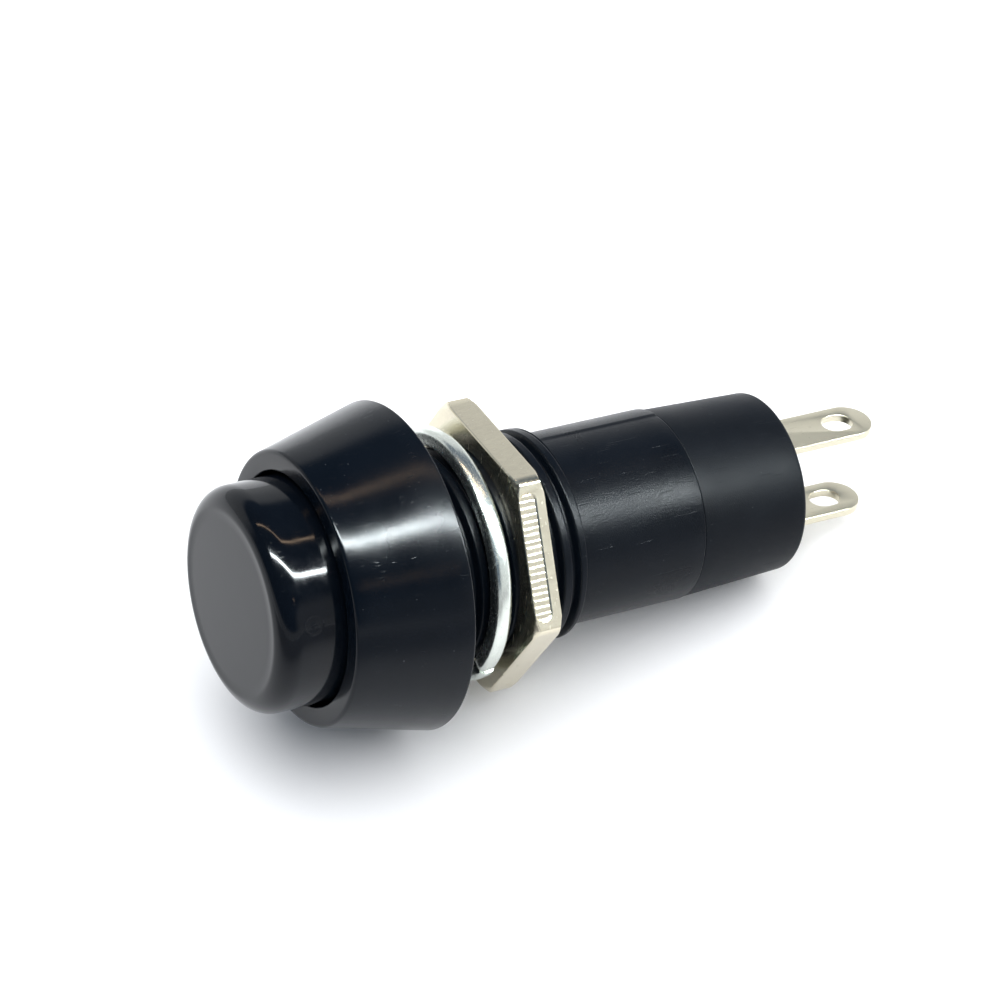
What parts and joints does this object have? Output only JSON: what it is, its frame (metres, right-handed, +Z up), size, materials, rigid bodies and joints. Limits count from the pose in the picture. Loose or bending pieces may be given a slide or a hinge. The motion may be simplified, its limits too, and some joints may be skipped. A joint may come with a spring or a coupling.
{
  "type": "panel push button",
  "caption": "Momentary round push button for a panel hole, with a threaded barrel, hex nut, lock washer and two solder lugs.",
  "frame": {"origin": "centre of the bezel's back face, on the button's axis, where the front of the panel seats", "axes": "+Y into the panel along the button's axis, the button facing -Y; +Z up, square to the flat lugs"},
  "size_m": [0.018, 0.0394, 0.018],
  "materials": {
    "housing_plastic": "satin moulded black",
    "button_plastic": "glossy moulded black",
    "stem_plastic": "natural nylon",
    "spring_steel": "drawn spring steel",
    "bridge_brass": "stamped brass",
    "contact_silver": "silver, headed",
    "lug_plating": "tin-plated brass sheet",
    "washer_zinc": "bright zinc-plated spring steel",
    "nut_nickel": "nickel-plated brass"
  },
  "bodies": {
    "housing": {"threaded_housing": "housing_plastic", "rear_cap": "housing_plastic", "terminal_lug_upper": "lug_plating", "terminal_lug_lower": "lug_plating", "fixed_contact_upper": "contact_silver", "fixed_contact_lower": "contact_silver", "return_spring": "spring_steel"},
    "plunger": {"button_cap": "button_plastic", "plunger_stem": "stem_plastic", "stop_clip": "spring_steel", "bridge_keeper": "spring_steel"},
    "bridge": {"contact_bridge": "bridge_brass", "moving_contact_upper": "contact_silver", "moving_contact_lower": "contact_silver", "contact_spring": "spring_steel"},
    "washer": {"lock_washer": "washer_zinc"},
    "nut": {"hex_nut": "nut_nickel"}
  },
  "joints": [
    {"name": "button_press", "type": "slide", "parent": "housing", "child": "plunger", "axis": [0, 1, 0], "range_m": [0, 0.0026], "stiffness_N_per_m": 600, "springref_m": -0.0004, "deforming": ["return_spring"]},
    {"name": "bridge_slide", "type": "slide", "parent": "housing", "child": "bridge", "axis": [0, 1, 0], "range_m": [0, 0.0016], "deforming": ["contact_spring"]},
    {"name": "washer_slide", "type": "slide", "parent": "housing", "child": "washer", "axis": [0, 1, 0], "range_m": [-0.0012, 0.0024]},
    {"name": "nut_spin", "type": "hinge", "parent": "washer", "child": "nut", "pos_m": [0, 0.0051, 0], "axis": [0, 1, 0], "range_deg": [-450, 882]}
  ],
  "couplings": [
    {"joint": "bridge_slide", "follows": "button_press", "ratio": 0.6},
    {"joint": "nut_spin", "follows": "washer_slide", "rad_per_m": 6283.2}
  ]
}
